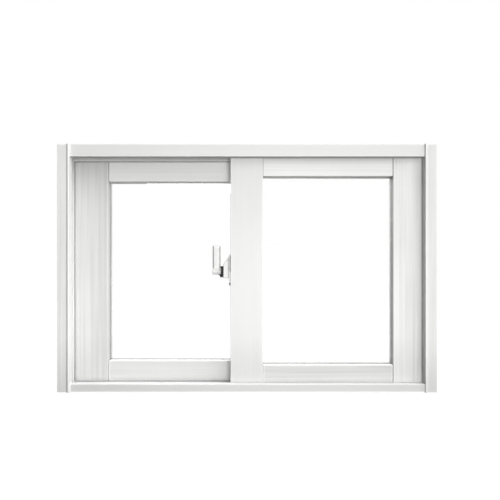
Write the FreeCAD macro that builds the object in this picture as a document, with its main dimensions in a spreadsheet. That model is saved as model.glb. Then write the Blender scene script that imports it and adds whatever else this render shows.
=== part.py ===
import FreeCAD, Part
import os
import re
import Sketcher

# Horizontal sliding window: a timber frame holds two glazed sashes that slide past each other.
# X runs along the window, Y from the room side to the far side and Z up, in millimetres.
# The origin lies under the middle of the sill.

SIZES = {
    # frame
    "window_width": 920,
    "window_height": 600,
    "frame_depth": 118,
    "frame_web": 8,
    "lip_depth": 12,
    "jamb_width": 30.5,
    "head_height": 30,
    "sill_height": 20,
    "ridge_width": 8.5,
    "ridge_crest": 2.5,
    "ridge_height": 4.5,
    "ridge_round": 1.2,
    "arris": 1.5,
    # tracks in the frame
    "rib_thickness": 6,
    "rib_drop": 16,
    "side_rib_reach": 6,
    "guide_width": 6,
    "guide_height": 5,
    "guide_round": 1.5,
    # screw holes through the jambs
    "fixing_radius": 2.75,
    "fixing_low": 120,
    "fixing_spacing": 360,
    # clearances of the sashes
    "track_gap": 5,
    "end_gap": 5,
    "top_gap": 8,
    "floor_gap": 2,
    "guide_gap": 2,
    "running_gap": 0.3,
    # sashes
    "outer_stile_width": 86.8,
    "meeting_stile_width": 80,
    "meeting_overlap": 41,
    "top_rail_height": 56,
    "bottom_rail_height": 52,
    "rail_setback": 1.5,
    "shoulder_gap": 1,
    "quirk_offset": 15,
    "quirk_width": 1.5,
    "quirk_depth": 0.4,
    "rebate_width": 10,
    "glass_reveal": 15,
    "glass_thickness": 4,
    "glass_edge_gap": 2,
    "glazing_bead_round": 4,
    # crescent lock
    "lock_axis_height": 293,
    "lock_axis_inset": 9,
    "plate_thickness": 4,
    "plate_width": 26,
    "plate_rise": 43,
    "plate_fall": 37,
    "plate_round": 5,
    "housing_length": 15,
    "housing_rise": 40,
    "housing_slope": 22,
    "housing_fall": 17,
    "housing_front": 13,
    "housing_back": 7,
    "pivot_radius": 4,
    "pivot_gap": 0.2,
    "cam_gap": 0.3,
    "cam_thickness": 4.2,
    "cam_radius": 14,
    "cam_hub_radius": 8,
    "lever_width": 22.8,
    "lever_rise": 67,
    "lever_hub_radius": 8,
    "lever_root": 9,
    "lever_tip": 5,
    "lever_lean": 3,
    "lever_round": 5,
    # keeper of the lock
    "keeper_plate": 3,
    "keeper_height": 29,
    "keeper_foot": 12,
    "keeper_gap": 2,
}

doc = FreeCAD.newDocument("SlidingWindow")
sheet = doc.addObject("Spreadsheet::Sheet", "Sizes")
for row, (alias, size) in enumerate(SIZES.items(), start=1):
    sheet.set(f"A{row}", alias)
    sheet.set(f"B{row}", str(size))
    sheet.setAlias(f"B{row}", alias)
doc.recompute()

# Lines that several pieces share, as expressions over the sheet
HALF_WIDTH = "window_width / 2"
HALF_DEPTH = "frame_depth / 2"
LIP_EDGE = f"({HALF_WIDTH} - jamb_width)"
GROOVE_FLOOR = f"({HALF_WIDTH} - frame_web)"
LIP_BACK = f"({HALF_DEPTH} - lip_depth)"
HEAD_CEILING = "(window_height - frame_web)"
SASH_GAP = "(rib_thickness + 2 * track_gap)"
SASH_THICKNESS = f"({LIP_BACK} - track_gap - {SASH_GAP} / 2)"
FRONT_FACE = f"(track_gap - {LIP_BACK})"
REAR_FACE = f"({SASH_GAP} / 2)"
FRONT_TRACK = f"({FRONT_FACE} + {SASH_THICKNESS} / 2)"
REAR_TRACK = f"({REAR_FACE} + {SASH_THICKNESS} / 2)"
SASH_BOTTOM = "(frame_web + floor_gap)"
SASH_TOP = f"({HEAD_CEILING} - top_gap)"
LOW_SIGHT = f"({SASH_BOTTOM} + bottom_rail_height)"
HIGH_SIGHT = f"({SASH_TOP} - top_rail_height)"
OUTER_EDGE = f"({GROOVE_FLOOR} - end_gap)"
OUTER_SIGHT = f"({OUTER_EDGE} - outer_stile_width)"
MEETING_EDGE = "(0 - meeting_overlap)"
MEETING_SIGHT = f"({MEETING_EDGE} + meeting_stile_width)"
LOCK_AXIS = f"({FRONT_FACE} + {SASH_THICKNESS} - lock_axis_inset)"
CATCH_REACH = f"({SASH_GAP} - track_gap)"
CAM_CENTRE = f"({LOCK_AXIS} - lock_axis_inset - {CATCH_REACH} + cam_radius)"
PLATE_FACE = f"({MEETING_EDGE} - plate_thickness)"
HOUSING_FACE = f"({PLATE_FACE} - housing_length)"
CAM_NEAR = f"({HOUSING_FACE} - cam_gap)"
CAM_FAR = f"({CAM_NEAR} - cam_thickness)"
LEVER_FAR = f"({CAM_FAR} - lever_width)"

sub_parts = []


def bound(text):
    """Turn the sheet's names in an expression into references to its cells."""
    return re.sub(r"[a-z_]+", lambda name: f"Sizes.{name.group(0)}", text)


def measure(text):
    """The present length of an expression over the sheet."""
    value = sheet.evalExpression(bound(text))
    return float(getattr(value, "Value", value))


def mirrored(side, low, high):
    """A span along X as it lies on this side of the window's middle: 1 is right and -1 is left."""
    return (low, high) if side > 0 else (f"0 - ({high})", f"0 - ({low})")


def block(label, x_span, y_span, z_span):
    """A rectangular piece between two expressions along each axis."""
    piece = doc.addObject("Part::Box", label)
    sides = (("Length", "x", x_span), ("Width", "y", y_span), ("Height", "z", z_span))
    for size, axis, (low, high) in sides:
        piece.setExpression(size, bound(f"({high}) - ({low})"))
        piece.setExpression(f"Placement.Base.{axis}", bound(low))
    return piece


def keep(piece, label):
    """Name a finished piece as a sub-part of the window."""
    piece.Label = label
    sub_parts.append(piece)


def new_body(label):
    """An empty body, kept as a sub-part."""
    body = doc.addObject("PartDesign::Body", label)
    keep(body, label)
    return body


def new_sketch(body, plane, offset):
    """A sketch on one of the body's origin planes, moved along that plane's normal."""
    sketch = body.newObject("Sketcher::SketchObject", "Outline")
    support = next(f for f in body.Origin.OriginFeatures if f.Role == f"{plane}_Plane")
    sketch.AttachmentSupport = [(support, "")]
    sketch.MapMode = "FlatFace"
    sketch.setExpression("AttachmentOffset.Base.z", bound(offset))
    return sketch


def drive(sketch, kind, entity, point, text):
    """Tie one coordinate of a sketch point to an expression."""
    index = sketch.addConstraint(Sketcher.Constraint(kind, entity, point, measure(text)))
    sketch.setExpression(f"Constraints[{index}]", bound(text))


def draw_polygon(sketch, corners):
    """A closed outline of straight lines, each corner driven by the sheet."""
    places = [FreeCAD.Vector(measure(u), measure(v), 0) for u, v in corners]
    first = sketch.GeometryCount
    count = len(corners)
    for index in range(count):
        sketch.addGeometry(Part.LineSegment(places[index], places[(index + 1) % count]), False)
    for index, (u, v) in enumerate(corners):
        ends = first + (index - 1) % count, 2, first + index, 1
        sketch.addConstraint(Sketcher.Constraint("Coincident", *ends))
        drive(sketch, "DistanceX", first + index, 1, u)
        drive(sketch, "DistanceY", first + index, 1, v)


def draw_circle(sketch, u, v, radius):
    """A circle whose centre and radius are driven by the sheet."""
    centre = FreeCAD.Vector(measure(u), measure(v), 0)
    index = sketch.addGeometry(Part.Circle(centre, FreeCAD.Vector(0, 0, 1), measure(radius)), False)
    drive(sketch, "DistanceX", index, 3, u)
    drive(sketch, "DistanceY", index, 3, v)
    number = sketch.addConstraint(Sketcher.Constraint("Radius", index, measure(radius)))
    sketch.setExpression(f"Constraints[{number}]", bound(radius))


def rectangle(u_span, v_span):
    """The four corners between two spans."""
    return [(u_span[0], v_span[0]), (u_span[1], v_span[0]), (u_span[1], v_span[1]), (u_span[0], v_span[1])]


def sketch_at(body, plane, level):
    """A sketch at a level along the plane's axis; the XZ plane's normal points along -Y."""
    return new_sketch(body, plane, f"0 - ({level})" if plane == "XZ" else level)


def add_prism(body, plane, span, polygons=(), circles=()):
    """Add the solid that an outline sweeps between two levels along its plane's axis."""
    low, high = span
    sketch = sketch_at(body, plane, high if plane == "XZ" else low)
    for corners in polygons:
        draw_polygon(sketch, corners)
    for circle in circles:
        draw_circle(sketch, *circle)
    pad = body.newObject("PartDesign::Pad", "Pad")
    pad.Profile = sketch
    pad.setExpression("Length", bound(f"({high}) - ({low})"))
    doc.recompute()
    return pad


def cut_prism(body, plane, span, polygons=(), circles=()):
    """Cut away what an outline sweeps between two levels, and see that it takes something away."""
    low, high = span
    before = body.Shape.Volume
    sketch = sketch_at(body, plane, low if plane == "XZ" else high)
    for corners in polygons:
        draw_polygon(sketch, corners)
    for circle in circles:
        draw_circle(sketch, *circle)
    pocket = body.newObject("PartDesign::Pocket", "Pocket")
    pocket.Profile = sketch
    pocket.setExpression("Length", bound(f"({high}) - ({low})"))
    doc.recompute()
    if not body.Shape.Volume < before:
        raise RuntimeError(f"a cut in {body.Label} took nothing away")
    return pocket


def ease(body, radius, axis, places):
    """Round the straight edges along one axis that pass through the given places of the other two axes."""
    axes = [name for name in "xyz" if name != axis]
    targets = [[measure(text) for text in place] for place in places]
    names = []
    for number, edge in enumerate(body.Shape.Edges, start=1):
        ends = [vertex.Point for vertex in edge.Vertexes]
        spots = [[getattr(end, name) for name in axes] for end in ends]
        for target in targets:
            if all(abs(a - b) < 1e-4 for spot in spots for a, b in zip(spot, target)):
                names.append(f"Edge{number}")
                break
    rounded = body.Tip
    fillet = body.newObject("PartDesign::Fillet", "Fillet")
    fillet.Base = (rounded, names)
    fillet.setExpression("Radius", bound(radius))
    body.Tip = fillet
    doc.recompute()


def make_jamb(label, side, track):
    """A side of the frame: a channel that the sash closes into, with a ridge along both lips."""
    crest = f"{LIP_EDGE} + ridge_crest"
    crest_face = f"{HALF_DEPTH} + ridge_height"
    lip = [
        (HALF_WIDTH, HALF_DEPTH),
        (f"{LIP_EDGE} + ridge_width", HALF_DEPTH),
        (crest, crest_face),
        (LIP_EDGE, crest_face),
        (LIP_EDGE, LIP_BACK),
        (GROOVE_FLOOR, LIP_BACK),
    ]
    front = [(f"{side} * ({x})", f"0 - ({y})") for x, y in lip]
    back = [(f"{side} * ({x})", y) for x, y in reversed(lip)]
    body = new_body(label)
    add_prism(body, "XY", ("0", "window_height"), [front + back])
    screws = [(track, level, "fixing_radius") for level in ("fixing_low", "fixing_low + fixing_spacing")]
    cut_prism(body, "YZ", mirrored(side, GROOVE_FLOOR, HALF_WIDTH), circles=screws)
    ease(body, "arris", "z", [(f"{side} * {HALF_WIDTH}", f"{face} * {HALF_DEPTH}") for face in (1, -1)])
    crests = [(f"{side} * ({x})", f"{face} * ({crest_face})") for face in (1, -1) for x in (LIP_EDGE, crest)]
    ease(body, "ridge_round", "z", crests)


def make_cross_member(label, web_span, lip_span, lip_level):
    """The head or the sill: a channel whose lips stop between the jambs' lips."""
    body = new_body(label)
    between = (f"0 - {LIP_EDGE}", LIP_EDGE)
    web = rectangle((f"0 - {LIP_BACK}", LIP_BACK), web_span)
    lips = [
        rectangle((f"0 - {HALF_DEPTH}", f"0 - {LIP_BACK}"), lip_span),
        rectangle((LIP_BACK, HALF_DEPTH), lip_span),
    ]
    add_prism(body, "YZ", (f"0 - {GROOVE_FLOOR}", GROOVE_FLOOR), [web])
    add_prism(body, "YZ", between, lips)
    ease(body, "arris", "x", [(f"{face} * {HALF_DEPTH}", lip_level) for face in (1, -1)])


def make_frame():
    """The four sides of the frame, the ribs that part the tracks and the two guide rails."""
    make_jamb("left_jamb", -1, FRONT_TRACK)
    make_jamb("right_jamb", 1, REAR_TRACK)
    head_lip = "window_height - head_height"
    make_cross_member("head", (HEAD_CEILING, "window_height"), (head_lip, "window_height"), head_lip)
    make_cross_member("sill", ("0", "frame_web"), ("0", "sill_height"), "sill_height")
    along = (f"0 - {GROOVE_FLOOR}", GROOVE_FLOOR)
    rib_faces = ("0 - rib_thickness / 2", "rib_thickness / 2")
    rib_bottom = f"{HEAD_CEILING} - rib_drop"
    keep(block("head_parting_rib", along, rib_faces, (rib_bottom, HEAD_CEILING)), "head_parting_rib")
    for label, side in (("left_parting_rib", -1), ("right_parting_rib", 1)):
        reach = mirrored(side, f"{GROOVE_FLOOR} - side_rib_reach", GROOVE_FLOOR)
        keep(block(label, reach, rib_faces, ("frame_web", rib_bottom)), label)
    for label, track in (("front_guide_rail", FRONT_TRACK), ("rear_guide_rail", REAR_TRACK)):
        sides = (f"{track} - guide_width / 2", f"{track} + guide_width / 2")
        top = "frame_web + guide_height"
        body = new_body(label)
        add_prism(body, "YZ", along, [rectangle(sides, ("frame_web", top))])
        ease(body, "guide_round", "x", [(edge, top) for edge in sides])


def make_stile(label, side, face, edge, sight, inward):
    """An upright of a sash, rebated for the glass behind and grooved below for its guide rail.

    edge and sight are its outer and inner edges, and inward is the sign of X from edge to sight.
    """
    back = f"{face} + {SASH_THICKNESS}"
    glass_front = f"{face} + glass_reveal"
    rebate = f"{sight} - {inward} * rebate_width"
    quirk_near = f"{sight} - {inward} * quirk_offset"
    quirk_far = f"{quirk_near} - {inward} * quirk_width"
    quirk_floor = f"{face} + quirk_depth"
    quirk = [(quirk_far, face), (quirk_far, quirk_floor), (quirk_near, quirk_floor), (quirk_near, face)]
    reveal = [(sight, face), (sight, glass_front), (rebate, glass_front), (rebate, back)]
    outline = [(edge, face), *quirk, *reveal, (edge, back)]
    body = new_body(label)
    add_prism(body, "XY", (SASH_BOTTOM, SASH_TOP), [[(f"{side} * ({x})", y) for x, y in outline]])
    middle = f"{face} + {SASH_THICKNESS} / 2"
    groove = rectangle(
        (f"{middle} - guide_width / 2 - guide_gap", f"{middle} + guide_width / 2 + guide_gap"),
        (SASH_BOTTOM, "frame_web + guide_height + running_gap"),
    )
    low, high = (edge, sight) if inward > 0 else (sight, edge)
    cut_prism(body, "YZ", mirrored(side, low, high), [groove])
    arrises = [(edge, face), (edge, back), (sight, face)]
    ease(body, "arris", "z", [(f"{side} * ({x})", y) for x, y in arrises])


def make_rail(label, side, face, span, rebate_level, sight_level, grooved):
    """A level member of a sash: its front stops just short of the stiles and its back fills their rebates."""
    front = f"{face} + rail_setback"
    back = f"{face} + {SASH_THICKNESS} - rail_setback"
    glass_front = f"{face} + glass_reveal"
    low, high = span
    shoulders = mirrored(side, f"{MEETING_SIGHT} + shoulder_gap", f"{OUTER_SIGHT} - shoulder_gap")
    haunches = mirrored(side, f"{MEETING_SIGHT} - rebate_width", f"{OUTER_SIGHT} + rebate_width")
    behind = (low, rebate_level) if grooved else (rebate_level, high)
    body = new_body(label)
    add_prism(body, "XZ", (front, glass_front), [rectangle(shoulders, span)])
    add_prism(body, "XZ", (glass_front, back), [rectangle(haunches, behind)])
    if grooved:
        middle = f"{face} + {SASH_THICKNESS} / 2"
        groove = rectangle(
            (f"{middle} - guide_width / 2 - guide_gap", f"{middle} + guide_width / 2 + guide_gap"),
            (low, "frame_web + guide_height + running_gap"),
        )
        cut_prism(body, "YZ", haunches, [groove])
    ease(body, "arris", "x", [(front, sight_level)])


def make_beads(name, side, face):
    """The four strips that hold the glass from behind."""
    back = f"{face} + {SASH_THICKNESS} - rail_setback"
    depth = (f"{face} + glass_reveal + glass_thickness", back)
    tall = (f"{LOW_SIGHT} - rebate_width", f"{HIGH_SIGHT} + rebate_width")
    wide = mirrored(side, MEETING_SIGHT, OUTER_SIGHT)
    meeting = mirrored(side, f"{MEETING_SIGHT} - rebate_width", MEETING_SIGHT)
    outer = mirrored(side, OUTER_SIGHT, f"{OUTER_SIGHT} + rebate_width")
    uprights = {"meeting_bead": (meeting, MEETING_SIGHT), "outer_bead": (outer, OUTER_SIGHT)}
    for bead, (span, sight) in uprights.items():
        body = new_body(f"{name}_{bead}")
        add_prism(body, "XY", tall, [rectangle(span, depth)])
        ease(body, "glazing_bead_round", "z", [(f"{side} * {sight}", back)])
    top = (HIGH_SIGHT, f"{HIGH_SIGHT} + rebate_width")
    bottom = (f"{LOW_SIGHT} - rebate_width", LOW_SIGHT)
    for bead, span, sight in (("top_bead", top, HIGH_SIGHT), ("bottom_bead", bottom, LOW_SIGHT)):
        body = new_body(f"{name}_{bead}")
        add_prism(body, "YZ", wide, [rectangle(depth, span)])
        ease(body, "glazing_bead_round", "x", [(back, sight)])


def make_sash(name, side, face):
    """One glazed sash; side 1 closes to the right jamb and -1 to the left one."""
    make_stile(f"{name}_outer_stile", side, face, OUTER_EDGE, OUTER_SIGHT, -1)
    make_stile(f"{name}_meeting_stile", side, face, MEETING_EDGE, MEETING_SIGHT, 1)
    top = (HIGH_SIGHT, SASH_TOP)
    bottom = (SASH_BOTTOM, LOW_SIGHT)
    make_rail(f"{name}_top_rail", side, face, top, f"{HIGH_SIGHT} + rebate_width", HIGH_SIGHT, False)
    make_rail(f"{name}_bottom_rail", side, face, bottom, f"{LOW_SIGHT} - rebate_width", LOW_SIGHT, True)
    cover = "rebate_width - glass_edge_gap"
    glass = block(
        f"{name}_glass",
        mirrored(side, f"{MEETING_SIGHT} - ({cover})", f"{OUTER_SIGHT} + {cover}"),
        (f"{face} + glass_reveal", f"{face} + glass_reveal + glass_thickness"),
        (f"{LOW_SIGHT} - ({cover})", f"{HIGH_SIGHT} + {cover}"),
    )
    keep(glass, f"{name}_glass")
    make_beads(name, side, face)


def make_lock():
    """The crescent lock on the edge of the front sash's meeting stile."""
    axis = "lock_axis_height"
    bore = [(LOCK_AXIS, axis, "pivot_radius + pivot_gap")]
    pin = [(LOCK_AXIS, axis, "pivot_radius")]

    base = new_body("lock_base")
    plate_sides = (f"{FRONT_TRACK} - plate_width / 2", f"{FRONT_TRACK} + plate_width / 2")
    plate_ends = (f"{axis} - plate_fall", f"{axis} + plate_rise")
    add_prism(base, "YZ", (PLATE_FACE, MEETING_EDGE), [rectangle(plate_sides, plate_ends)])
    ease(base, "plate_round", "x", [(y, z) for y in plate_sides for z in plate_ends])
    wedge = [
        (PLATE_FACE, f"{axis} - housing_fall"),
        (PLATE_FACE, f"{axis} + housing_rise"),
        (HOUSING_FACE, f"{axis} + housing_rise - housing_slope"),
        (HOUSING_FACE, f"{axis} - housing_fall"),
    ]
    housing_sides = (f"{LOCK_AXIS} - housing_front", f"{LOCK_AXIS} + housing_back")
    add_prism(base, "XZ", housing_sides, [wedge])
    cut_prism(base, "YZ", (HOUSING_FACE, PLATE_FACE), circles=bore)

    pivot = new_body("lock_pivot")
    add_prism(pivot, "YZ", (CAM_FAR, PLATE_FACE), circles=pin)

    cam = new_body("lock_cam")
    thickness = (CAM_FAR, CAM_NEAR)
    add_prism(cam, "YZ", thickness, circles=[(CAM_CENTRE, axis, "cam_radius")])
    behind = rectangle(
        (LOCK_AXIS, f"{CAM_CENTRE} + cam_radius"),
        (f"{axis} - cam_radius", f"{axis} + cam_radius"),
    )
    cut_prism(cam, "YZ", thickness, [behind])
    add_prism(cam, "YZ", thickness, circles=[(LOCK_AXIS, axis, "cam_hub_radius")])
    cut_prism(cam, "YZ", thickness, circles=pin)

    lever = new_body("lock_lever")
    lever_sides = (LEVER_FAR, CAM_FAR)
    tip = f"{axis} + lever_rise"
    arm = [
        (f"{LOCK_AXIS} - lever_root / 2", axis),
        (f"{LOCK_AXIS} + lever_root / 2", axis),
        (f"{LOCK_AXIS} - lever_lean + lever_tip / 2", tip),
        (f"{LOCK_AXIS} - lever_lean - lever_tip / 2", tip),
    ]
    add_prism(lever, "YZ", lever_sides, [arm])
    ease(lever, "lever_round", "y", [(x, tip) for x in lever_sides])
    add_prism(lever, "YZ", lever_sides, circles=[(LOCK_AXIS, axis, "lever_hub_radius")])


def make_keeper():
    """The angle on the rear sash that the turned cam catches behind."""
    keeper = new_body("lock_keeper")
    foot_face = f"(0 - {MEETING_SIGHT})"
    lip_near = f"({CAM_FAR} - keeper_gap)"
    lip_far = f"({lip_near} - keeper_plate)"
    web_back = f"({REAR_FACE} + keeper_plate)"
    outline = [
        (foot_face, REAR_FACE),
        (foot_face, f"{REAR_FACE} + keeper_foot"),
        (f"{foot_face} - keeper_plate", f"{REAR_FACE} + keeper_foot"),
        (f"{foot_face} - keeper_plate", web_back),
        (lip_far, web_back),
        (lip_far, f"{REAR_FACE} - {CATCH_REACH}"),
        (lip_near, f"{REAR_FACE} - {CATCH_REACH}"),
        (lip_near, REAR_FACE),
    ]
    middle = "lock_axis_height"
    add_prism(keeper, "XY", (f"{middle} - keeper_height / 2", f"{middle} + keeper_height / 2"), [outline])


def write_parts():
    """Check every object of the document, then write each sub-part to its file."""
    doc.recompute()
    broken = [item.Name for item in doc.Objects if {"Invalid", "Error"} & set(item.State)]
    broken += [piece.Label for piece in sub_parts if piece.Shape.isNull() or not piece.Shape.isValid()]
    if broken:
        raise RuntimeError(f"not well made: {broken}")
    os.makedirs("parts", exist_ok=True)
    for piece in sub_parts:
        piece.Shape.exportStep(f"parts/{piece.Label}.step")


make_frame()
make_sash("front", 1, FRONT_FACE)
make_sash("rear", -1, REAR_FACE)
make_lock()
make_keeper()
write_parts()
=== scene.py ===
import logging
import math
from collections.abc import Callable
from dataclasses import dataclass
from enum import Enum
from typing import Any

import bmesh
import bpy
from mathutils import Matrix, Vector


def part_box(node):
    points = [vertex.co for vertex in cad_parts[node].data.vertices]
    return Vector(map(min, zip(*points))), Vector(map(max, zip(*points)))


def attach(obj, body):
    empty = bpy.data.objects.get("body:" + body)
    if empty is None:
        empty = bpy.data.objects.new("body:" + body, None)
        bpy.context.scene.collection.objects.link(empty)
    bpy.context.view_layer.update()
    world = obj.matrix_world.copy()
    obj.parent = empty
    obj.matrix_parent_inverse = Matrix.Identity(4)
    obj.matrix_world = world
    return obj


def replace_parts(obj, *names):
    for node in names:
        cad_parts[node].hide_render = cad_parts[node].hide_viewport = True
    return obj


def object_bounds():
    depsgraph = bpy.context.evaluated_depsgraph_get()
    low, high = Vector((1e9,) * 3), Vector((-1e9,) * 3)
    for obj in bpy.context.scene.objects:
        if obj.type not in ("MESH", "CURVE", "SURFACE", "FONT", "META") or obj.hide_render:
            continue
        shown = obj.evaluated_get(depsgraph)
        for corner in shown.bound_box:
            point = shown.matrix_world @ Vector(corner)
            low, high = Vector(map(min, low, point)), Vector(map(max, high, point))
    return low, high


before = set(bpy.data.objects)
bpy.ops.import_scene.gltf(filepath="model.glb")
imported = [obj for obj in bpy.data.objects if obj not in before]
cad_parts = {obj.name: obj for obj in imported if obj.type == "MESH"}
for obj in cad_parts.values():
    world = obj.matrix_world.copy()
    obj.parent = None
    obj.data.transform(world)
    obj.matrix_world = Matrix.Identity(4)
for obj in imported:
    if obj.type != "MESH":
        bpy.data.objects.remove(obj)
CAD_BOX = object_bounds()
MM = 0.001
NEAR = 0.1 * MM
SHARP_ANGLE = math.radians(40)
SMOOTH_ANGLE = math.radians(35)
log = logging.getLogger("sliding_window")


class Grain(Enum):
    """The way the grain of a timber member runs."""

    UPRIGHT = "upright"
    LEVEL = "level"


class Facing(Enum):
    """The way that a face looks, as seen from the room."""

    UP = (0, 0, 1)
    DOWN = (0, 0, -1)
    LEFT = (-1, 0, 0)
    RIGHT = (1, 0, 0)


class Part(Enum):
    """What a pick in edit mode looks at."""

    FACE = "FACE"
    EDGE = "EDGE"


def linear(hex_colour: str) -> tuple[float, float, float, float]:
    """Turn an sRGB hex colour into linear values.

    Args:
        hex_colour: six hex digits after a hash sign.
    Returns:
        Linear red, green and blue, and an alpha of 1.
    """
    shares = [int(hex_colour[start:start + 2], 16) / 255 for start in (1, 3, 5)]
    red, green, blue = [s / 12.92 if s <= 0.04045 else ((s + 0.055) / 1.055) ** 2.4 for s in shares]
    return red, green, blue, 1.0


def add_node(tree: bpy.types.NodeTree, kind: str, inputs: dict[Any, Any] | None = None,
             **settings: Any) -> bpy.types.Node:
    """Add a shader node with its settings and links.

    Args:
        tree: the tree that gets the node.
        kind: the node's type.
        inputs: by input name or number, a value to set or an output socket to link.
        settings: the node's own properties.
    Returns:
        The new node.
    """
    node = tree.nodes.new(kind)
    for name, value in settings.items():
        setattr(node, name, value)
    for key, value in (inputs or {}).items():
        if isinstance(value, bpy.types.NodeSocket):
            tree.links.new(value, node.inputs[key])
        else:
            node.inputs[key].default_value = value
    return node


def new_material(name: str) -> tuple[bpy.types.Material, bpy.types.NodeTree]:
    """Start a material with an empty node tree.

    Args:
        name: the finish's name.
    Returns:
        The material and its tree.
    """
    material = bpy.data.materials.new(name)
    material.use_nodes = True
    material.node_tree.nodes.clear()
    return material, material.node_tree


def show(tree: bpy.types.NodeTree, shader: bpy.types.NodeSocket) -> None:
    """Send a shader to the tree's surface output."""
    add_node(tree, "ShaderNodeOutputMaterial", {"Surface": shader})


def noise_at(tree: bpy.types.NodeTree, cell_mm: tuple[float, float, float], detail: float) -> bpy.types.NodeSocket:
    """Add a noise whose cells have a real size along each axis of the piece.

    Args:
        tree: the tree that gets the nodes.
        cell_mm: the cells' size along X, Y and Z, in millimetres.
        detail: how many finer layers the noise has.
    Returns:
        The noise's value, from 0 to 1.
    """
    place = add_node(tree, "ShaderNodeTexCoord").outputs["Object"]
    scale = tuple(1 / (size * MM) for size in cell_mm)
    mapped = add_node(tree, "ShaderNodeMapping", {"Vector": place, "Scale": scale}).outputs["Vector"]
    return add_node(tree, "ShaderNodeTexNoise", {"Vector": mapped, "Scale": 1.0, "Detail": detail}).outputs[0]


def ramp(tree: bpy.types.NodeTree, value: bpy.types.NodeSocket, ends: tuple[float, float],
         low: float = 0.3, high: float = 0.7) -> bpy.types.NodeSocket:
    """Spread a part of a value's range between two results.

    Args:
        tree: the tree that gets the node.
        value: the value to spread.
        ends: the results at low and at high.
        low: where the spread starts.
        high: where it ends.
    Returns:
        The spread value.
    """
    inputs = {"Value": value, "From Min": low, "From Max": high, "To Min": ends[0], "To Max": ends[1]}
    return add_node(tree, "ShaderNodeMapRange", inputs).outputs["Result"]


def blend_colours(tree: bpy.types.NodeTree, share: Any, first: Any, second: Any) -> bpy.types.NodeSocket:
    """Mix two colours by a share.

    Args:
        tree: the tree that gets the node.
        share: how much of the second colour shows.
        first: a colour or a colour socket.
        second: a colour or a colour socket.
    Returns:
        The mixed colour.
    """
    return add_node(tree, "ShaderNodeMix", {0: share, 6: first, 7: second}, data_type="RGBA").outputs[2]


def bump(tree: bpy.types.NodeTree, height: bpy.types.NodeSocket, depth_mm: float,
         strength: float) -> bpy.types.NodeSocket:
    """Raise a surface by a height pattern.

    Args:
        tree: the tree that gets the node.
        height: the pattern, from 0 to 1.
        depth_mm: how deep the pattern is, in millimetres.
        strength: how much of it shows.
    Returns:
        The bumped normal.
    """
    inputs = {"Height": height, "Distance": depth_mm * MM, "Strength": strength}
    return add_node(tree, "ShaderNodeBump", inputs).outputs["Normal"]


def openness(tree: bpy.types.NodeTree, reach_mm: float, **settings: Any) -> bpy.types.NodeSocket:
    """Measure how open the surroundings of a surface are.

    Args:
        tree: the tree that gets the node.
        reach_mm: how near another surface has to be to count, in millimetres.
        settings: the node's own properties.
    Returns:
        1 where nothing is near, and less in a nook.
    """
    inputs = {"Distance": reach_mm * MM}
    return add_node(tree, "ShaderNodeAmbientOcclusion", inputs, samples=8, **settings).outputs["AO"]


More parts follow.
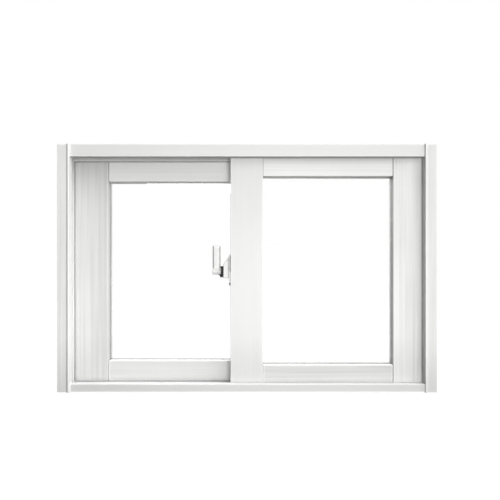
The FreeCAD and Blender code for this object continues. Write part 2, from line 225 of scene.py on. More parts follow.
@dataclass(frozen=True)
class PaintedPine:
    """Planed pine under brushed white satin paint.

    The grain shows through as faint streaks along the member, the brush leaves fine ridges, and the sheen
    is soft. The paint also carries painted light and shade: a painted highlight whitens the arrises,
    painted shade darkens the nooks and joints and the foot of the window, and a painted shadow may fade
    out from the lips of the frame, apart from the foot. Faces that look up, down, left or right may get
    a painted light or a painted shade of their own.
    """

    name: str
    grain: Grain
    light: str
    shade: str
    streak_mm: float = 7.0
    streak_length_mm: float = 420.0
    streak_share: float = 0.75
    ridge_mm: float = 1.6
    ridge_length_mm: float = 90.0
    ridge_depth_mm: float = 0.12
    ridge_strength: float = 0.25
    roughness: tuple[float, float] = (0.38, 0.52)
    cloud_mm: float = 130.0
    cloud_share: float = 0.25
    # painted shade: this dark colour darkens the nooks and joints, the foot and the frame lips' shadow
    painted_shade_colour: str = "#262625"
    nook_shade_reach_mm: float = 3.0
    nook_shade_share: float = 0.95
    nook_shade_spread: tuple[float, float] = (0.2, 0.75)
    # painted shade, darker towards the foot of the window
    foot_shade_mm: float = 130.0
    foot_shade_share: float = 0.18
    # painted shadow that the frame's lips throw on the sash, fading out from the lips
    lip_shadow_reach_mm: float = 16.0
    lip_shadow_share: float = 0.0
    lip_shadow_spread: tuple[float, float] = (0.45, 0.95)
    lip_shadow_foot_mm: tuple[float, float] = (30.0, 80.0)
    # painted highlight: the paint is whiter along the arrises
    arris_highlight: str = "#FFFFFF"
    arris_highlight_mm: float = 4.0
    arris_highlight_spread: tuple[float, float] = (0.6, 0.95)
    # painted light and painted shade on faces that look one way: whiter on tops and lit sides, greyer on undersides
    # and shaded sides
    light_and_shade_by_facing: tuple[tuple[Facing, str], ...] = ()
    facing_light_spread: tuple[float, float] = (0.5, 0.9)

    def along(self, across_mm: float, length_mm: float) -> tuple[float, float, float]:
        """Lay a pattern's cells along the grain.

        Args:
            across_mm: the cells' size across the grain.
            length_mm: their size along it.
        Returns:
            Their size along X, Y and Z.
        """
        if self.grain is Grain.UPRIGHT:
            return across_mm, across_mm, length_mm
        return length_mm, across_mm, across_mm

    def make(self) -> bpy.types.Material:
        """Build the material.

        Returns:
            The paint for members with this grain.
        """
        material, tree = new_material(self.name)
        streaks = noise_at(tree, self.along(self.streak_mm, self.streak_length_mm), 4.0)
        ridges = noise_at(tree, self.along(self.ridge_mm, self.ridge_length_mm), 2.0)
        clouds = noise_at(tree, (self.cloud_mm,) * 3, 2.0)
        share = add_node(tree, "ShaderNodeMath", {0: ramp(tree, streaks, (0.0, self.streak_share)),
                                                  1: ramp(tree, clouds, (0.0, self.cloud_share))}, operation="ADD")
        paint = blend_colours(tree, share.outputs[0], linear(self.light), linear(self.shade))
        # painted highlight: whiter paint along the convex edges
        edge = openness(tree, self.arris_highlight_mm, inside=True, only_local=True)
        white = ramp(tree, edge, (1.0, 0.0), *self.arris_highlight_spread)
        paint = blend_colours(tree, white, paint, linear(self.arris_highlight))
        # painted light and painted shade by the way each face looks
        for facing, coat in self.light_and_shade_by_facing:
            way = add_node(tree, "ShaderNodeNewGeometry").outputs["Normal"]
            turned = add_node(tree, "ShaderNodeVectorMath", {0: way, 1: facing.value}, operation="DOT_PRODUCT")
            share = ramp(tree, turned.outputs["Value"], (0.0, 1.0), *self.facing_light_spread)
            paint = blend_colours(tree, share, paint, linear(coat))
        place = add_node(tree, "ShaderNodeTexCoord").outputs["Object"]
        level = add_node(tree, "ShaderNodeSeparateXYZ", {"Vector": place}).outputs["Z"]
        # painted shade: the paint gets darker towards the foot
        foot_shade = ramp(tree, level, (self.foot_shade_share, 0.0), 0.0, self.foot_shade_mm * MM)
        paint = blend_colours(tree, foot_shade, paint, linear(self.painted_shade_colour))
        # painted shadow of the frame's lips, kept off the foot
        if self.lip_shadow_share:
            low, high = self.lip_shadow_foot_mm
            above = ramp(tree, level, (0.0, self.lip_shadow_share), low * MM, high * MM)
            shut = ramp(tree, openness(tree, self.lip_shadow_reach_mm), (1.0, 0.0), *self.lip_shadow_spread)
            lip_shadow = add_node(tree, "ShaderNodeMath", {0: above, 1: shut}, operation="MULTIPLY").outputs[0]
            paint = blend_colours(tree, lip_shadow, paint, linear(self.painted_shade_colour))
        # painted shade in the nooks and joints
        nook_shade = ramp(tree, openness(tree, self.nook_shade_reach_mm), (self.nook_shade_share, 0.0), *self.nook_shade_spread)
        colour = blend_colours(tree, nook_shade, paint, linear(self.painted_shade_colour))
        inputs = {
            "Base Color": colour,
            "Roughness": ramp(tree, ridges, self.roughness),
            "IOR": 1.48,
            "Normal": bump(tree, ridges, self.ridge_depth_mm, self.ridge_strength),
        }
        show(tree, add_node(tree, "ShaderNodeBsdfPrincipled", inputs).outputs[0])
        return material


@dataclass(frozen=True)
class FloatGlass:
    """Clear float glass: colourless from the front, with a sharp reflection and faint wipe marks."""

    name: str = "clear_float_glass"
    tint: str = "#FFFFFF"
    wipe_mm: float = 60.0

    def make(self) -> bpy.types.Material:
        """Build the material.

        Returns:
            Glass that lets the lamps through.
        """
        material, tree = new_material(self.name)
        wipes = noise_at(tree, (self.wipe_mm, self.wipe_mm, self.wipe_mm * 2), 3.0)
        inputs = {
            "Base Color": linear(self.tint),
            "Roughness": ramp(tree, wipes, (0.0, 0.012)),
            "IOR": 1.52,
            "Transmission Weight": 1.0,
        }
        pane = add_node(tree, "ShaderNodeBsdfPrincipled", inputs).outputs[0]
        clear = add_node(tree, "ShaderNodeBsdfTransparent", {"Color": linear(self.tint)}).outputs[0]
        path = add_node(tree, "ShaderNodeLightPath").outputs["Is Shadow Ray"]
        show(tree, add_node(tree, "ShaderNodeMixShader", {0: path, 1: pane, 2: clear}).outputs[0])
        return material


@dataclass(frozen=True)
class EnamelledZinc:
    """Die-cast zinc under gloss white enamel: a wet shine and a slight orange peel.

    Painted shade darkens its joints and the faces that look sideways.
    """

    name: str = "white_enamelled_zinc"
    light: str = "#F9F9F8"
    shade: str = "#F0F0EF"
    peel_mm: float = 1.4
    cloud_mm: float = 18.0
    # painted shade in the joints of the casting
    joint_shade_colour: str = "#4C4C4B"
    joint_shade_reach_mm: float = 2.5
    joint_shade_share: float = 0.75
    joint_shade_spread: tuple[float, float] = (0.3, 0.8)
    # painted shade on the faces that look sideways
    flank: str = "#CBCBC9"

    def make(self) -> bpy.types.Material:
        """Build the material.

        Returns:
            The enamel of the lock.
        """
        material, tree = new_material(self.name)
        peel = noise_at(tree, (self.peel_mm,) * 3, 1.0)
        clouds = noise_at(tree, (self.cloud_mm,) * 3, 3.0)
        enamel = blend_colours(tree, ramp(tree, clouds, (0.0, 1.0)), linear(self.light), linear(self.shade))
        # painted shade on the flanks, by how far each face looks sideways
        way = add_node(tree, "ShaderNodeNewGeometry").outputs["Normal"]
        across = add_node(tree, "ShaderNodeSeparateXYZ", {"Vector": way}).outputs["X"]
        side = add_node(tree, "ShaderNodeMath", {0: across}, operation="ABSOLUTE").outputs[0]
        enamel = blend_colours(tree, ramp(tree, side, (0.0, 1.0)), enamel, linear(self.flank))
        # painted shade in the joints of the casting
        joint_shade = ramp(tree, openness(tree, self.joint_shade_reach_mm), (self.joint_shade_share, 0.0), *self.joint_shade_spread)
        inputs = {
            "Base Color": blend_colours(tree, joint_shade, enamel, linear(self.joint_shade_colour)),
            "Roughness": ramp(tree, clouds, (0.2, 0.32)),
            "IOR": 1.5,
            "Coat Weight": 0.4,
            "Coat Roughness": 0.08,
            "Normal": bump(tree, peel, 0.05, 0.3),
        }
        show(tree, add_node(tree, "ShaderNodeBsdfPrincipled", inputs).outputs[0])
        return material


@dataclass(frozen=True)
class BlackedSteel:
    """Steel blacked with oxide: near black, dull, with lighter rubbed patches."""

    name: str = "black_oxide_steel"
    light: str = "#3A3B3D"
    shade: str = "#151617"
    patch_mm: float = 5.0

    def make(self) -> bpy.types.Material:
        """Build the material.

        Returns:
            The finish of the cam, the keeper and the screws.
        """
        material, tree = new_material(self.name)
        patches = noise_at(tree, (self.patch_mm,) * 3, 4.0)
        rubbed = ramp(tree, patches, (0.0, 0.6))
        inputs = {
            "Base Color": blend_colours(tree, rubbed, linear(self.shade), linear(self.light)),
            "Metallic": 0.7,
            "Roughness": ramp(tree, patches, (0.5, 0.36)),
            "Normal": bump(tree, patches, 0.03, 0.3),
        }
        show(tree, add_node(tree, "ShaderNodeBsdfPrincipled", inputs).outputs[0])
        return material


@dataclass(frozen=True)
class ExtrudedNylon:
    """Extruded white nylon: slightly warm and smooth, with die lines along the strip."""

    name: str = "extruded_nylon"
    light: str = "#E6E5E1"
    shade: str = "#D6D5D0"
    line_mm: float = 0.8
    line_length_mm: float = 300.0

    def make(self) -> bpy.types.Material:
        """Build the material.

        Returns:
            The plastic of the guide rails.
        """
        material, tree = new_material(self.name)
        lines = noise_at(tree, (self.line_length_mm, self.line_mm, self.line_mm), 2.0)
        inputs = {
            "Base Color": blend_colours(tree, ramp(tree, lines, (0.0, 1.0)), linear(self.light), linear(self.shade)),
            "Roughness": ramp(tree, lines, (0.3, 0.42)),
            "IOR": 1.53,
            "Normal": bump(tree, lines, 0.04, 0.3),
        }
        show(tree, add_node(tree, "ShaderNodeBsdfPrincipled", inputs).outputs[0])
        return material


def dress(piece: bpy.types.Object, material: bpy.types.Material) -> None:
    """Give a piece one material all over.

    Args:
        piece: a CAD node's object or a new piece.
        material: its finish.
    """
    if not piece.material_slots:
        piece.data.materials.append(material)
    for slot in piece.material_slots:
        slot.material = material


def dress_nodes(names: tuple[str, ...], material: bpy.types.Material) -> None:
    """Give CAD nodes that stay one material, and report them.

    Args:
        names: the nodes.
        material: their finish.
    """
    for name in names:
        dress(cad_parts[name], material)
        log.info("%s dressed in %s", name, material.name)


def alone(piece: bpy.types.Object) -> None:
    """Make a piece the active one and the only one selected.

    Args:
        piece: the piece.
    """
    bpy.ops.object.select_all(action="DESELECT")
    piece.select_set(True)
    bpy.context.view_layer.objects.active = piece


def settle(name: str) -> bpy.types.Object:
    """Name the primitive just added and move its place into its mesh.

    Args:
        name: the piece's name.
    Returns:
        The piece, at the origin, unturned and unscaled.
    """
    piece = bpy.context.object
    piece.name = name
    alone(piece)
    bpy.ops.object.transform_apply(location=True, rotation=True, scale=True)
    return piece


def add_block(name: str, low: Vector, high: Vector) -> bpy.types.Object:
    """Add a cube between two corners, to be shaped.

    Args:
        name: the piece's name.
        low: its lowest corner.
        high: its highest corner.
    Returns:
        The settled block.
    """
    bpy.ops.mesh.primitive_cube_add(size=1, location=(low + high) / 2, scale=high - low)
    return settle(name)


def add_drum(name: str, middle: Vector, radius: float, length: float, sides: int) -> bpy.types.Object:
    """Add a cylinder along X, to be shaped.

    Args:
        name: the piece's name.
        middle: its middle.
        radius: its radius.
        length: its length along X.
        sides: how many sides it has.
    Returns:
        The settled drum.
    """
    bpy.ops.mesh.primitive_cylinder_add(vertices=sides, radius=radius, depth=length, location=middle,
                                        rotation=(0, math.pi / 2, 0))
    return settle(name)


def edit(piece: bpy.types.Object) -> None:
    """Open a piece alone in edit mode with nothing selected.

    Args:
        piece: the piece.
    """
    alone(piece)
    bpy.ops.object.mode_set(mode="EDIT")
    bpy.ops.mesh.select_all(action="DESELECT")


def leave_edit() -> None:
    """Close edit mode."""
    bpy.ops.object.mode_set(mode="OBJECT")


def pick(piece: bpy.types.Object, part: Part, wanted: Callable[[Vector, Vector], bool]) -> None:
    """Select faces or edges in edit mode by their place.

    Args:
        piece: the piece in edit mode.
        part: faces or edges.
        wanted: takes an element's middle and its normal or direction, and says whether to select it.
    """
    bpy.ops.mesh.select_mode(type=part.value)
    bpy.ops.mesh.select_all(action="DESELECT")
    shape = bmesh.from_edit_mesh(piece.data)
    if part is Part.FACE:
        found = [(face, face.calc_center_median(), face.normal) for face in shape.faces]
    else:
        found = []
        for line in shape.edges:
            start, end = (corner.co for corner in line.verts)
            found.append((line, (start + end) / 2, (end - start).normalized()))
    for element, middle, along in found:
        if wanted(middle, along):
            element.select_set(True)
    shape.select_flush_mode()
    bmesh.update_edit_mesh(piece.data)


def round_sharp(width: float, segments: int) -> None:
    """Bevel every sharp edge of the piece in edit mode.

    Args:
        width: the bevel's width.
        segments: how many steps it has.
    """
    bpy.ops.mesh.select_mode(type="EDGE")
    bpy.ops.mesh.select_all(action="DESELECT")
    bpy.ops.mesh.edges_select_sharp(sharpness=SHARP_ANGLE)
    bpy.ops.mesh.bevel(offset=width, segments=segments, affect="EDGES", clamp_overlap=True)


def finish_with(piece: bpy.types.Object, kind: str, **settings: Any) -> None:
    """Add a modifier and apply it.

    Args:
        piece: the piece to finish.
        kind: the modifier's type.
        settings: the modifier's own properties.
    """
    alone(piece)
    modifier = piece.modifiers.new("Finish", kind)
    for name, value in settings.items():
        setattr(modifier, name, value)
    bpy.ops.object.modifier_apply(modifier=modifier.name)


def cast_together(pieces: list[bpy.types.Object], grain_size: float) -> bpy.types.Object:
    """Join rough shapes into one casting with soft inner corners.

    Args:
        pieces: the rough shapes; the first one gives the name.
        grain_size: the size of the steps that the casting is made of.
    Returns:
        The casting.
    """
    alone(pieces[0])
    for piece in pieces[1:]:
        piece.select_set(True)
    bpy.ops.object.join()
    casting = bpy.context.object
    finish_with(casting, "REMESH", mode="VOXEL", voxel_size=grain_size)
    finish_with(casting, "SMOOTH", factor=0.5, iterations=6)
    bpy.ops.object.shade_smooth()
    return casting


def mount(piece: bpy.types.Object, body: str, material: bpy.types.Material) -> None:
    """Dress a new piece, let it ride on its body and report it.

    Args:
        piece: the piece.
        body: the CAD body that carries it.
        material: its finish.
    """
    dress(piece, material)
    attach(piece, body)
    log.info("%s rides on %s with %d faces", piece.name, body, len(piece.data.polygons))


@dataclass
class Frame:
    """The outer frame: jambs, head, sill, the ribs between the tracks and the guide rails."""

    side_ribs: tuple[str, ...] = ("left_parting_rib", "right_parting_rib")
    guides: tuple[str, ...] = ("front_guide_rail", "rear_guide_rail")

    def build(self) -> None:
        """Dress the frame's members."""
        finishes = {
            # the left jamb gets a painted light on faces that look right and full painted shade in its nooks; the
            # right jamb gets a painted shade on faces that look left
            ("left_jamb",): PaintedPine("painted_pine_left_jamb", Grain.UPRIGHT, "#FAFAF9", "#EAEAE9",
                                        nook_shade_share=1.0, light_and_shade_by_facing=((Facing.RIGHT, "#F8F8F7"),)),
            ("right_jamb",): PaintedPine("painted_pine_right_jamb", Grain.UPRIGHT, "#F2F2F1", "#E3E3E2",
                                         light_and_shade_by_facing=((Facing.LEFT, "#BEBEBC"),)),
            # the head gets a painted shade on its underside; the sill gets a painted light on its top
            ("head",): PaintedPine("painted_pine_head", Grain.LEVEL, "#EFEFEE", "#EBEBEA",
                                   light_and_shade_by_facing=((Facing.DOWN, "#A6A6A4"),)),
            ("sill",): PaintedPine("painted_pine_sill", Grain.LEVEL, "#DDDDDC", "#D8D8D7",
                                   nook_shade_share=0.0, foot_shade_share=0.0, light_and_shade_by_facing=((Facing.UP, "#FFFFFF"),)),
            # the head rib's whiter paint is a painted light on its shaded front; its underside gets a painted shade
            ("head_parting_rib",): PaintedPine("painted_pine_head_rib", Grain.LEVEL, "#FEFEFD", "#F8F8F7",
                                               nook_shade_share=0.1, light_and_shade_by_facing=((Facing.DOWN, "#6C6C6A"),)),
            self.side_ribs: PaintedPine("painted_pine_side_rib", Grain.UPRIGHT, "#F4F4F3", "#ECECEB",
                                        nook_shade_share=0.1),
            self.guides: ExtrudedNylon(),
        }
        for names, finish in finishes.items():
            dress_nodes(names, finish.make())


@dataclass
class Sash:
    """One glazed sash: two stiles, two rails, the pane and the strips that hold it."""

    name: str
    meeting_paint: tuple[str, str]
    outer_paint: tuple[str, str]
    # painted shade on the outer stile's reveal, the face that looks towards the pane
    outer_edge_shade: tuple[Facing, str]
    top_paint: tuple[str, str]
    bottom_paint: tuple[str, str]
    # painted shade on the upright beads' faces that look the same way, and on the level beads' tops
    bead_edge_shade: str
    bead_top_shade: str
    # share of the painted shadow from the frame's lips
    lip_shadow_share: float = 0.0
    bead_paint: tuple[str, str] = ("#F4F4F3", "#EBEBEA")
    # painted shade on the undersides of the top rail and the level beads
    underside_shade: str = "#CDCDCB"

    def build(self, glass: bpy.types.Material) -> None:
        """Dress the sash's members.

        Args:
            glass: the finish of its pane.
        """
        paint = f"painted_pine_{self.name}_"
        finishes = {
            ("meeting_stile",): PaintedPine(paint + "meeting_stile", Grain.UPRIGHT, *self.meeting_paint),
            ("outer_stile",): PaintedPine(paint + "outer_stile", Grain.UPRIGHT, *self.outer_paint,
                                          lip_shadow_share=self.lip_shadow_share, light_and_shade_by_facing=(self.outer_edge_shade,)),
            ("top_rail",): PaintedPine(paint + "top_rail", Grain.LEVEL, *self.top_paint,
                                       lip_shadow_share=self.lip_shadow_share, light_and_shade_by_facing=((Facing.DOWN, self.underside_shade),)),
            ("bottom_rail",): PaintedPine(paint + "bottom_rail", Grain.LEVEL, *self.bottom_paint,
                                          # the bottom rail's top gets a painted light
                                          nook_shade_share=0.3, foot_shade_share=0.06, light_and_shade_by_facing=((Facing.UP, "#FFFFFF"),)),
            ("meeting_bead", "outer_bead"): PaintedPine(paint + "upright_bead", Grain.UPRIGHT, *self.bead_paint,
                                                        light_and_shade_by_facing=((self.outer_edge_shade[0], self.bead_edge_shade),)),
            ("top_bead", "bottom_bead"): PaintedPine(paint + "level_bead", Grain.LEVEL, *self.bead_paint,
                                                     light_and_shade_by_facing=((Facing.DOWN, self.underside_shade),
                                                            (Facing.UP, self.bead_top_shade))),
        }
        for pieces, finish in finishes.items():
            dress_nodes(tuple(f"{self.name}_{piece}" for piece in pieces), finish.make())
        dress_nodes((f"{self.name}_glass",), glass)


@dataclass
class CrescentLock:
    """The crescent lock on the meeting stile, its keeper and their screws, in metres."""

    hub_radius: float = 8 * MM
    hub_round: float = 1.4 * MM
    lever_root: float = 9 * MM
    lever_tip: float = 5 * MM
    lever_lean: float = 3 * MM
    lever_round: float = 5 * MM
    lever_chamfer: float = 4 * MM
    lever_waist: float = 2.5 * MM
    lever_steps: int = 6
    fine_round: float = 0.6 * MM
    plate_thickness: float = 4 * MM
    plate_back: float = 2 * MM
    plate_round: float = 5 * MM
    plate_edge: float = 1 * MM
    slot_width: float = 1.9 * MM
    slot_low: float = 36 * MM
    slot_top: float = 6 * MM
    slot_depth: float = 5 * MM
    slot_over: float = 1 * MM
    gusset_length: float = 8 * MM
    gusset_width: float = 7 * MM
    gusset_bite: float = 0.5 * MM
    gusset_lap: float = 1.5 * MM
    gusset_thinning: float = 0.75
    housing_low: float = 20 * MM
    housing_rise: float = 77 * MM
    housing_slope: float = 22 * MM
    housing_front: float = 8 * MM
    housing_round: float = 2 * MM
    casting_step: float = 0.5 * MM
    screw_radius: float = 3.1 * MM
    set_screw_radius: float = 1.9 * MM
    head_height_share: float = 0.75
    head_dome_share: float = 0.6
    recess_arm_share: float = 0.62
    recess_slit_share: float = 0.15
    recess_taper: float = 0.8
    set_screw_seat: tuple[float, float] = (0.5 * MM, 6 * MM)
    plate_screw_seat: tuple[float, float] = (4 * MM, 13 * MM)
    keeper_screw_seat: tuple[float, float] = (3 * MM, 4.5 * MM)

    def build(self) -> None:
        """Model and dress the lock."""
        enamel = EnamelledZinc().make()
        steel = BlackedSteel().make()
        mount(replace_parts(self.make_lever(), "lock_lever"), "lock_lever", enamel)
        mount(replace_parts(self.make_base(), "lock_base"), "front_sash", enamel)
        dress_nodes(("lock_cam", "lock_pivot", "lock_keeper"), steel)
        mount(self.make_gusset(), "lock_lever", steel)
        self.add_screws(enamel, steel)

    def make_gusset(self) -> bpy.types.Object:
        """Model the gusset that braces the cam under the lever's hub.

        Returns:
            The gusset, a wedge that thins towards the lever's end.
        """
        hub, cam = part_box("lock_lever"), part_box("lock_cam")
        middle = hub[1].y - self.hub_radius
        low = Vector((cam[0].x - self.gusset_length, middle - self.gusset_width / 2, cam[0].z + self.gusset_bite))
        high = Vector((cam[0].x + self.gusset_bite, middle + self.gusset_width / 2, hub[0].z + self.gusset_lap))
        gusset = add_block("cam_gusset", low, high)
        edit(gusset)
        pick(gusset, Part.EDGE, lambda at, along: abs(along.y) > 0.9 and at.x < low.x + NEAR
             and at.z < low.z + NEAR)
        bpy.ops.transform.translate(value=(0, 0, (high.z - low.z) * self.gusset_thinning))
        round_sharp(self.fine_round, 3)
        leave_edit()
        bpy.ops.object.shade_smooth_by_angle(angle=SMOOTH_ANGLE)
        return gusset

    def make_lever(self) -> bpy.types.Object:
        """Model the thumb lever: a hub and a narrower, chamfered arm that leans towards the room.

        Returns:
            The lever.
        """
        low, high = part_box("lock_lever")
        axis = Vector(((low.x + high.x) / 2, high.y - self.hub_radius, low.z + self.hub_radius))
        hub = add_drum("lock_lever_casting", axis, self.hub_radius, high.x - low.x, 48)
        edit(hub)
        round_sharp(self.hub_round, 4)
        leave_edit()

        half = Vector((0, self.lever_root / 2, 0))
        flank = high.x - self.lever_waist
        arm = add_block("lever_arm", Vector((low.x, axis.y, axis.z)) - half, Vector((flank, axis.y, high.z)) + half)
        edit(arm)
        pick(arm, Part.EDGE, lambda middle, along: abs(along.z) > 0.9)
        bpy.ops.mesh.subdivide(number_cuts=self.lever_steps - 1)
        rise = high.z - axis.z
        for step in range(1, self.lever_steps + 1):
            share = step / self.lever_steps
            level = axis.z + rise * share
            pick(arm, Part.EDGE, lambda middle, along, at=level: abs(middle.z - at) < NEAR)
            thin = 1 + (self.lever_tip / self.lever_root - 1) * share
            centre = Vector((axis.x, axis.y, level))
            bpy.ops.transform.resize(value=(1, thin, 1), center_override=centre)
            bpy.ops.transform.translate(value=(0, -self.lever_lean * share ** 2, 0))
        pick(arm, Part.EDGE, lambda middle, along: abs(along.y) > 0.9 and middle.z > high.z - NEAR)
        bpy.ops.mesh.bevel(offset=self.lever_round, segments=6, affect="EDGES")
        pick(arm, Part.EDGE, lambda middle, along: abs(along.z) > 0.7 and middle.y < axis.y - self.lever_tip / 2
             and min(middle.x - low.x, flank - middle.x) < NEAR)
        bpy.ops.mesh.bevel(offset=self.lever_chamfer, segments=1, affect="EDGES")
        round_sharp(self.fine_round, 2)
        leave_edit()
        return cast_together([hub, arm], self.casting_step)

    def make_base(self) -> bpy.types.Object:
        """Model the base: a plate with round corners and a slot, and a housing that slopes down to the cam.

        Returns:
            The base.
        """
        low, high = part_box("lock_base")
        face = high.x - self.plate_thickness
        plate = add_block("lock_base_casting", Vector((face, low.y, low.z)),
                          Vector((high.x, high.y - self.plate_back, high.z)))
        edit(plate)
        pick(plate, Part.EDGE, lambda middle, along: abs(along.x) > 0.9)
        bpy.ops.mesh.bevel(offset=self.plate_round, segments=6, affect="EDGES")
        pick(plate, Part.EDGE, lambda middle, along: middle.x < face + NEAR and abs(along.x) < 0.1)
        bpy.ops.mesh.bevel(offset=self.plate_edge, segments=3, affect="EDGES")
        leave_edit()
        slot_start = Vector((high.x - self.slot_width, low.y - self.slot_over, low.z + self.slot_low))
        slot_end = Vector((high.x + self.slot_over, low.y + self.slot_depth, high.z - self.slot_top))
        slot = add_block("plate_slot", slot_start, slot_end)
        finish_with(plate, "BOOLEAN", operation="DIFFERENCE", object=slot, solver="EXACT")
        bpy.data.objects.remove(slot)

        housing = add_block("lock_housing", Vector((low.x, low.y + self.housing_front, low.z + self.housing_low)),
                            Vector((high.x - self.plate_thickness / 2, high.y, low.z + self.housing_rise)))
        edit(housing)
        pick(housing, Part.EDGE, lambda middle, along: abs(along.y) > 0.9 and middle.x < low.x + NEAR
             and middle.z > low.z + self.housing_rise - NEAR)
        bpy.ops.transform.translate(value=(0, 0, -self.housing_slope))
        round_sharp(self.housing_round, 4)
        leave_edit()
        return cast_together([plate, housing], self.casting_step)

    def make_screw(self) -> bpy.types.Object:
        """Model a pan-head screw with a cross recess at the origin, its head towards -X.

        Returns:
            The screw's head, from which the others are copied.
        """
        radius = self.screw_radius
        tall = radius * self.head_height_share
        head = add_drum("pan_head", Vector((-tall / 2, 0, 0)), radius, tall, 32)
        edit(head)
        pick(head, Part.EDGE, lambda middle, along: middle.x < -tall * 0.9)
        bpy.ops.mesh.bevel(offset=tall * self.head_dome_share, segments=5, affect="EDGES")
        leave_edit()
        arm, slit = radius * self.recess_arm_share, radius * self.recess_slit_share
        crown = Vector((-tall, 0, 0))
        taper = self.recess_taper
        for half_y, half_z in ((arm, slit), (slit, arm)):
            reach = Vector((tall / 2, half_y, half_z))
            cutter = add_block("recess", crown - reach, crown + reach)
            edit(cutter)
            pick(cutter, Part.FACE, lambda middle, normal: normal.x > 0.9)
            bpy.ops.transform.resize(value=(1, taper, taper), center_override=crown + Vector((reach.x, 0, 0)))
            leave_edit()
            finish_with(head, "BOOLEAN", operation="DIFFERENCE", object=cutter, solver="EXACT")
            bpy.data.objects.remove(cutter)
        alone(head)
        bpy.ops.object.shade_smooth_by_angle(angle=SMOOTH_ANGLE)
        return head

    def copy_screw(self, pattern: bpy.types.Object, name: str, seat: Vector, radius: float,
                   turn: float = 0.0) -> bpy.types.Object:
        """Copy a screw, with a mesh of its own, and put it on its seat.

        Args:
            pattern: the screw at the origin.
            name: the copy's name.
            seat: the middle of the face that its head sits on.
            radius: its head's radius.
            turn: how far it turns about Z, in radians.
        Returns:
            The copy.
        """
        alone(pattern)
        bpy.ops.object.duplicate()
        origin = (0, 0, 0)
        bpy.ops.transform.resize(value=(radius / self.screw_radius,) * 3, center_override=origin)
        # With no window open, the operator turns the other way round.
        bpy.ops.transform.rotate(value=-turn, orient_axis="Z", center_override=origin)
        bpy.ops.transform.translate(value=seat)
        return settle(name)

    def add_screws(self, enamel: bpy.types.Material, steel: bpy.types.Material) -> None:
        """Put the screws into the lock's plate and the keeper's foot.

        Args:
            enamel: the finish of the plate's upper screw.
            steel: the finish of the others.
        """
        pattern = self.make_screw()
        low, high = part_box("lock_base")
        inward, rise = self.set_screw_seat
        seat = Vector((high.x - self.plate_thickness / 2, low.y + inward, low.z + rise))
        screw = self.copy_screw(pattern, "lock_set_screw", seat, self.set_screw_radius, math.pi / 2)
        mount(screw, "front_sash", steel)
        inward, drop = self.plate_screw_seat
        seat = Vector((high.x - self.plate_thickness, low.y + inward, high.z - drop))
        screw = self.copy_screw(pattern, "lock_screw_high", seat, self.screw_radius)
        mount(screw, "front_sash", enamel)
        low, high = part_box("lock_keeper")
        aside, inward = self.keeper_screw_seat
        for name, level in (("keeper_screw_low", 0.25), ("keeper_screw_high", 0.75)):
            seat = Vector((high.x - aside, high.y - inward, low.z + (high.z - low.z) * level))
            screw = self.copy_screw(pattern, name, seat, self.screw_radius)
            mount(screw, "rear_sash", steel)
        bpy.data.objects.remove(pattern)


def direction(turn_deg: float, rise_deg: float) -> Vector:
    """The direction from the window that is turned to the right of its front and raised, in degrees."""
    turn, rise = math.radians(turn_deg), math.radians(rise_deg)
    return Vector((math.sin(turn) * math.cos(rise), -math.cos(turn) * math.cos(rise), math.sin(rise)))


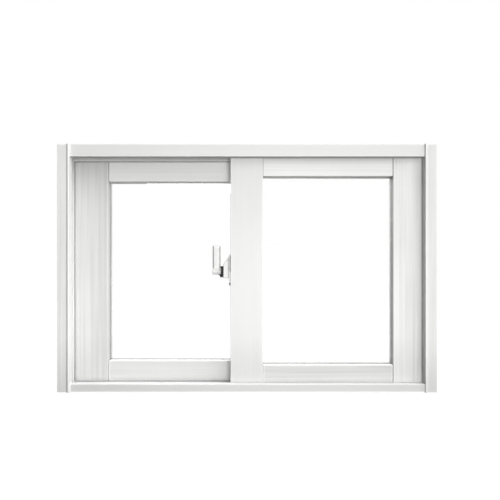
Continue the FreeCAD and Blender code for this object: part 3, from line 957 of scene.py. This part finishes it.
@dataclass
class Studio:
    """Floor, light and camera, in metres; the camera stands straight in front of the window."""

    sky_most: float = 2.17
    sky_edge: float = 0.35
    sky_turn_deg: float = 68.0
    sky_rise_deg: float = 36.0
    key_power: float = 15.5
    key_size: float = 0.6
    key_distance: float = 1.6
    key_turn_deg: float = 8.0
    key_rise_deg: float = -3.5
    fill_power: float = 60.0
    fill_size: float = 2.5
    fill_distance: float = 3.5
    fill_turn_deg: float = -170.0
    fill_rise_deg: float = 35.0
    floor_size: float = 40.0
    floor_paint: str = "#5A5A59"
    floor_glow: float = 1.4
    floor_glow_share: float = 0.72
    camera_distance: float = 0.9
    camera_height: float = 0.2686
    lens_mm: float = 26.8
    sensor_mm: float = 36.0
    shift: tuple[float, float] = (0.0058, 0.0623)

    def build(self) -> None:
        """Set up the floor, the world, a lamp behind the camera, one behind the window, and the camera."""
        bpy.context.scene.view_settings.view_transform = "Standard"
        self.make_floor()
        self.make_world()
        key = direction(self.key_turn_deg, self.key_rise_deg) * self.key_distance
        self.hang_lamp("key", self.key_power, self.key_size, key)
        fill = direction(self.fill_turn_deg, self.fill_rise_deg) * self.fill_distance
        self.hang_lamp("fill", self.fill_power, self.fill_size, fill)
        self.make_camera(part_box("head")[0].y)

    def middle(self) -> Vector:
        """The middle of the window's box."""
        low, high = CAD_BOX
        return (low + high) / 2

    def seen(self, tree: bpy.types.NodeTree) -> bpy.types.NodeSocket:
        """Tell the rays that show the background to the eye, straight or by shine or glass.

        Args:
            tree: the tree that gets the nodes.
        Returns:
            1 for these rays and 0 for others.
        """
        path = add_node(tree, "ShaderNodeLightPath").outputs
        straight = add_node(tree, "ShaderNodeMath", {0: path["Is Camera Ray"], 1: path["Is Glossy Ray"]},
                            operation="MAXIMUM").outputs[0]
        return add_node(tree, "ShaderNodeMath", {0: straight, 1: path["Is Transmission Ray"]},
                        operation="MAXIMUM").outputs[0]

    def make_floor(self) -> None:
        """Lay a pale floor that shows white and keeps a soft shadow."""
        bpy.ops.object.select_all(action="DESELECT")
        bpy.ops.mesh.primitive_plane_add(size=self.floor_size)
        floor = settle("floor")
        material, tree = new_material("studio_floor")
        plain = add_node(tree, "ShaderNodeBsdfDiffuse", {"Color": linear(self.floor_paint)}).outputs[0]
        glow = add_node(tree, "ShaderNodeEmission", {"Strength": self.floor_glow}).outputs[0]
        share = add_node(tree, "ShaderNodeMath", {0: self.seen(tree), 1: self.floor_glow_share}, operation="MULTIPLY")
        show(tree, add_node(tree, "ShaderNodeMixShader", {0: share.outputs[0], 1: plain, 2: glow}).outputs[0])
        dress(floor, material)

    def make_world(self) -> None:
        """Light the room softly, most from the upper right, and show it white to the eye."""
        world = bpy.data.worlds.new("studio")
        bpy.context.scene.world = world
        world.use_nodes = True
        tree = world.node_tree
        tree.nodes.clear()
        way = add_node(tree, "ShaderNodeTexCoord").outputs["Generated"]
        brightest = direction(self.sky_turn_deg, self.sky_rise_deg)
        facing = add_node(tree, "ShaderNodeVectorMath", {0: way, 1: brightest}, operation="DOT_PRODUCT")
        sky = ramp(tree, facing.outputs["Value"], (0.0, self.sky_most), self.sky_edge, 1.0)
        inputs = {"Value": self.seen(tree), "To Min": sky, "To Max": 1.0}
        strength = add_node(tree, "ShaderNodeMapRange", inputs).outputs["Result"]
        white = add_node(tree, "ShaderNodeBackground", {"Color": (1, 1, 1, 1), "Strength": strength})
        add_node(tree, "ShaderNodeOutputWorld", {"Surface": white.outputs[0]})

    def hang_lamp(self, name: str, power: float, size: float, towards: Vector) -> None:
        """Hang a soft round lamp that points at the window's middle.

        Args:
            name: the lamp's name.
            power: its power in watts.
            size: its diameter.
            towards: the way to it from the window's middle.
        """
        lamp = bpy.data.lights.new(name, "AREA")
        lamp.shape = "DISK"
        lamp.size = size
        lamp.energy = power
        holder = bpy.data.objects.new(name, lamp)
        bpy.context.scene.collection.objects.link(holder)
        holder.location = self.middle() + towards
        holder.rotation_euler = towards.to_track_quat("Z", "Y").to_euler()

    def make_camera(self, face: float) -> None:
        """Stand the camera straight in front of the window's face.

        Args:
            face: the Y of the face that the distance is measured from.
        """
        lens = bpy.data.cameras.new("camera")
        lens.lens = self.lens_mm
        lens.sensor_width = self.sensor_mm
        lens.shift_x, lens.shift_y = self.shift
        camera = bpy.data.objects.new("camera", lens)
        bpy.context.scene.collection.objects.link(camera)
        camera.location = (self.middle().x, face - self.camera_distance, self.camera_height)
        camera.rotation_euler = (math.pi / 2, 0, 0)
        bpy.context.scene.camera = camera


def main() -> None:
    """Build the window's looks, then the studio round it."""
    logging.basicConfig(level=logging.INFO, format="%(message)s")
    bpy.ops.object.select_all(action="DESELECT")
    Frame().build()
    glass = FloatGlass().make()
    # the front sash gets the painted shadow of the frame's lips
    Sash("front", meeting_paint=("#ECECEB", "#E8E8E7"), outer_paint=("#FFFFFE", "#E5E5E4"),
         outer_edge_shade=(Facing.LEFT, "#A8A8A6"), top_paint=("#FBFBFA", "#EEEEED"),
         bottom_paint=("#E5E5E4", "#CBCBCA"), bead_edge_shade="#F4F4F3", bead_top_shade="#787876", lip_shadow_share=0.22).build(glass)
    # the rear top rail's near-white paint is a painted light where the head shades it
    Sash("rear", meeting_paint=("#EAEAE9", "#E1E1E0"), outer_paint=("#EAEAE9", "#D6D6D5"),
         outer_edge_shade=(Facing.RIGHT, "#C4C4C2"), top_paint=("#FEFEFD", "#F8F8F7"),
         bottom_paint=("#E3E3E2", "#DADAD9"), bead_edge_shade="#C8C8C6", bead_top_shade="#585856").build(glass)
    CrescentLock().build()
    Studio().build()


if __name__ == "__main__":
    main()
